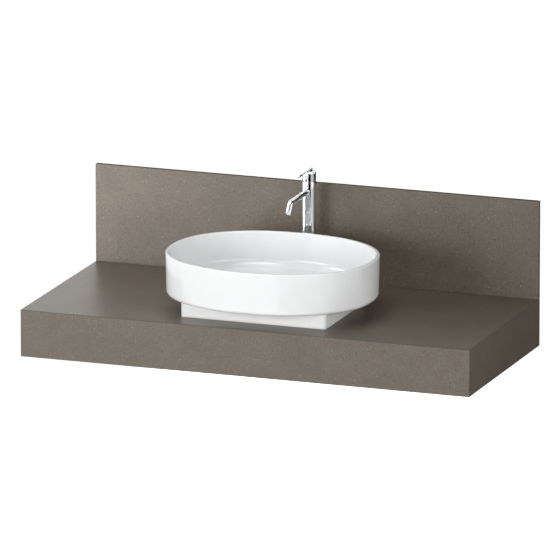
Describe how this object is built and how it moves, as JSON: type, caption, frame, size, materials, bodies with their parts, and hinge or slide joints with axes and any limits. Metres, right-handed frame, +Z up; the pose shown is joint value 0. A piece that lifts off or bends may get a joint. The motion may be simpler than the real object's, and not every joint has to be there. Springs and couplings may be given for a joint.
{
  "type": "wall-hung vanity console with basin and tap",
  "caption": "Wall-hung stone vanity console with a back panel, a sit-on oval basin on a rectangular plinth, a push-open waste and a tall single-lever tap.",
  "frame": {"origin": "middle of the footprint, level with the lower edges of the aprons", "axes": "+X to the user's right along the console, +Y towards the wall, +Z up"},
  "size_m": [1.2, 0.5584, 0.4283],
  "materials": {
    "stone": "honed engineered quartz, grey-brown with fine light and dark specks",
    "plywood": "sanded birch plywood, sealed",
    "coated_steel": "black powder coat",
    "zinc_steel": "bright zinc plate",
    "ceramic": "white gloss glaze",
    "chrome": "polished chrome plate",
    "brass": "machined brass",
    "rubber": "moulded black rubber",
    "silicone": "white sanitary silicone",
    "plastic": "moulded engineering plastic"
  },
  "bodies": {
    "console": {"top_slab": "stone", "front_apron": "stone", "left_apron": "stone", "right_apron": "stone", "splashback": "stone", "carrier": "plywood", "front_stiffener": "plywood", "left_stiffener": "plywood", "right_stiffener": "plywood", "left_bracket": "coated_steel", "right_bracket": "coated_steel", "left_bracket_screw_1": "zinc_steel", "left_bracket_screw_2": "zinc_steel", "left_bracket_screw_3": "zinc_steel", "right_bracket_screw_1": "zinc_steel", "right_bracket_screw_2": "zinc_steel", "right_bracket_screw_3": "zinc_steel", "basin": "ceramic", "basin_seal": "silicone", "waste_body": "chrome", "flange_seal": "rubber", "counter_seal": "rubber", "waste_washer": "plastic", "waste_nut": "brass", "waste_guide": "plastic", "tap_column": "chrome", "tap_base_gasket": "rubber", "tap_foot": "brass", "mounting_stud": "zinc_steel", "rubber_horseshoe": "rubber", "steel_horseshoe": "zinc_steel", "stud_nut": "brass", "cartridge_seal": "rubber", "cartridge_body": "plastic", "cartridge_nut": "brass", "dome_cover": "chrome", "tap_spout": "chrome", "aerator_housing": "chrome", "aerator_insert": "plastic"},
    "waste_plug": {"plug_cover": "chrome", "plug_seal": "rubber", "plug_spindle": "brass", "plug_stop": "zinc_steel"},
    "tap_turret": {"lever_turret": "brass", "lever_pivot_pin": "zinc_steel"},
    "tap_lever": {"lever_stem": "zinc_steel", "lever_cap": "chrome", "lever_grub_screw": "zinc_steel", "lever_bar": "chrome"}
  },
  "joints": [
    {"name": "plug_press", "type": "slide", "parent": "console", "child": "waste_plug", "axis": [0, 0, 1], "range_m": [-0.008, 0]},
    {"name": "lever_turn", "type": "hinge", "parent": "console", "child": "tap_turret", "pos_m": [0, 0.2177, 0.395], "axis": [0, 0, 1], "range_deg": [-50, 50]},
    {"name": "lever_lift", "type": "hinge", "parent": "tap_turret", "child": "tap_lever", "pos_m": [0, 0.2177, 0.395], "axis": [-1, 0, 0], "range_deg": [0, 20]}
  ]
}
